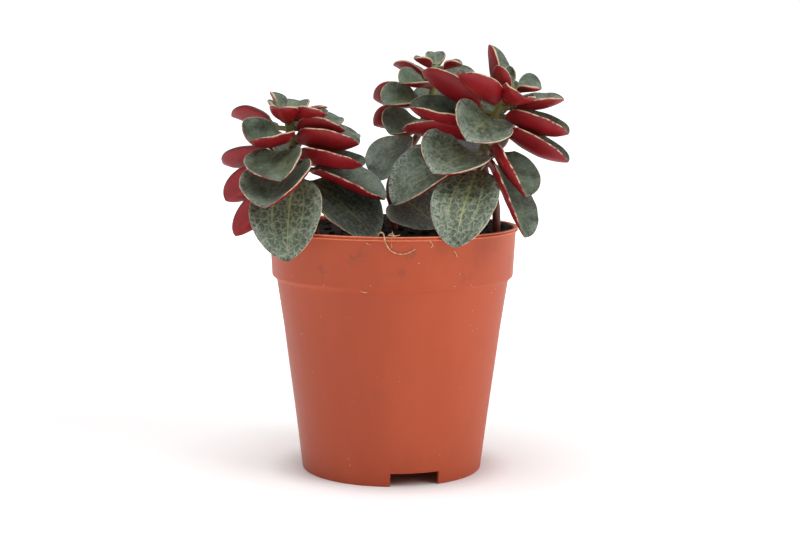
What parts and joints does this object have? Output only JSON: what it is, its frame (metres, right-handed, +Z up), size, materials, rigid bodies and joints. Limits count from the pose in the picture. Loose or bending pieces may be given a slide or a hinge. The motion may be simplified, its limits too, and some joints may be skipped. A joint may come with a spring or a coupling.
{
  "type": "potted log peperomia",
  "caption": "Small three-stemmed peperomia with folded grey-green leaves, red underneath, in a terracotta plastic nursery pot.",
  "frame": {"origin": "centre of the pot's foot ring, on the surface that it stands on", "axes": "+Z up along the pot's axis, -Y towards the front of the plant, +X to its right seen from the front"},
  "size_m": [0.1158, 0.0857, 0.1441],
  "materials": {
    "pot_plastic": "satin",
    "peat_soil": "matte",
    "stem": "satin",
    "leaf": "satin"
  },
  "bodies": {
    "root": {"back_leaf_01": "leaf", "back_leaf_02": "leaf", "back_leaf_03": "leaf", "back_leaf_04": "leaf", "back_leaf_05": "leaf", "back_leaf_06": "leaf", "back_leaf_07": "leaf", "back_leaf_08": "leaf", "back_leaf_09": "leaf", "back_leaf_10": "leaf", "back_leaf_11": "leaf", "back_leaf_12": "leaf", "back_stem": "stem", "left_leaf_01": "leaf", "left_leaf_02": "leaf", "left_leaf_03": "leaf", "left_leaf_04": "leaf", "left_leaf_05": "leaf", "left_leaf_06": "leaf", "left_leaf_07": "leaf", "left_leaf_08": "leaf", "left_leaf_09": "leaf", "left_leaf_10": "leaf", "left_leaf_11": "leaf", "left_leaf_12": "leaf", "left_leaf_13": "leaf", "left_leaf_14": "leaf", "left_leaf_15": "leaf", "left_leaf_16": "leaf", "left_leaf_17": "leaf", "left_leaf_18": "leaf", "left_leaf_19": "leaf", "left_leaf_20": "leaf", "left_leaf_21": "leaf", "left_stem": "stem", "pot": "pot_plastic", "right_leaf_01": "leaf", "right_leaf_02": "leaf", "right_leaf_03": "leaf", "right_leaf_04": "leaf", "right_leaf_05": "leaf", "right_leaf_06": "leaf", "right_leaf_07": "leaf", "right_leaf_08": "leaf", "right_leaf_09": "leaf", "right_leaf_10": "leaf", "right_leaf_11": "leaf", "right_leaf_12": "leaf", "right_leaf_13": "leaf", "right_leaf_14": "leaf", "right_leaf_15": "leaf", "right_leaf_16": "leaf", "right_leaf_17": "leaf", "right_leaf_18": "leaf", "right_leaf_19": "leaf", "right_leaf_20": "leaf", "right_leaf_21": "leaf", "right_stem": "stem", "soil": "peat_soil"}
  },
  "joints": []
}
